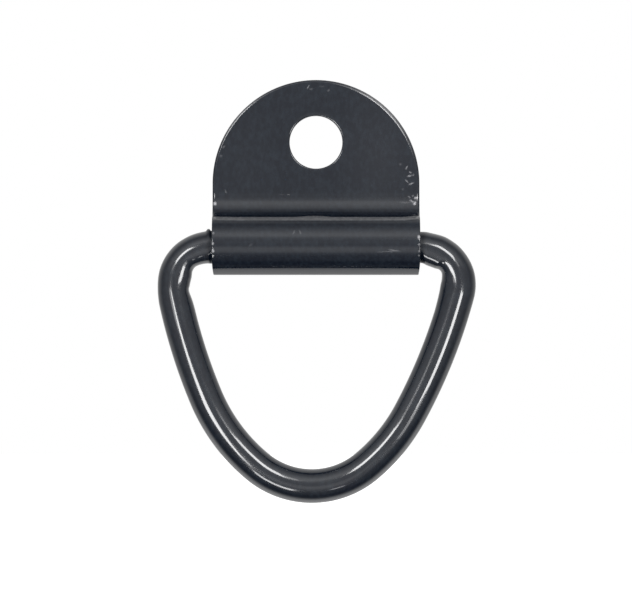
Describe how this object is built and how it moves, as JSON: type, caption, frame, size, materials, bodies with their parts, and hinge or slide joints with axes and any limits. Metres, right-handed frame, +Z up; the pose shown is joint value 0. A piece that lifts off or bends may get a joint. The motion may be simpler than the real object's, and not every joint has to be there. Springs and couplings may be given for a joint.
{
  "type": "surface mount rope ring",
  "caption": "Surface mount rope ring: a bent rod loop swings in a rolled barrel below a round-ended tab with a bolt hole.",
  "frame": {"origin": "centre of the bolt hole on the plane of the mounting surface, which is the back of the tab", "axes": "+Z up from the barrel to the round end, +X along the barrel, -Y out from the mounting surface along the bolt hole"},
  "size_m": [0.0766, 0.0142, 0.1016],
  "materials": {
    "bracket_coat": "semi-gloss black coat on formed steel sheet",
    "ring_coat": "gloss black coat on bent steel bar"
  },
  "bodies": {
    "bracket": {"bracket": "bracket_coat"},
    "ring": {"ring": "ring_coat"}
  },
  "joints": [
    {"name": "ring_swing", "type": "hinge", "parent": "bracket", "child": "ring", "pos_m": [0, -0.00716, -0.02518], "axis": [-1, 0, 0], "range_deg": [-3, 183]}
  ]
}
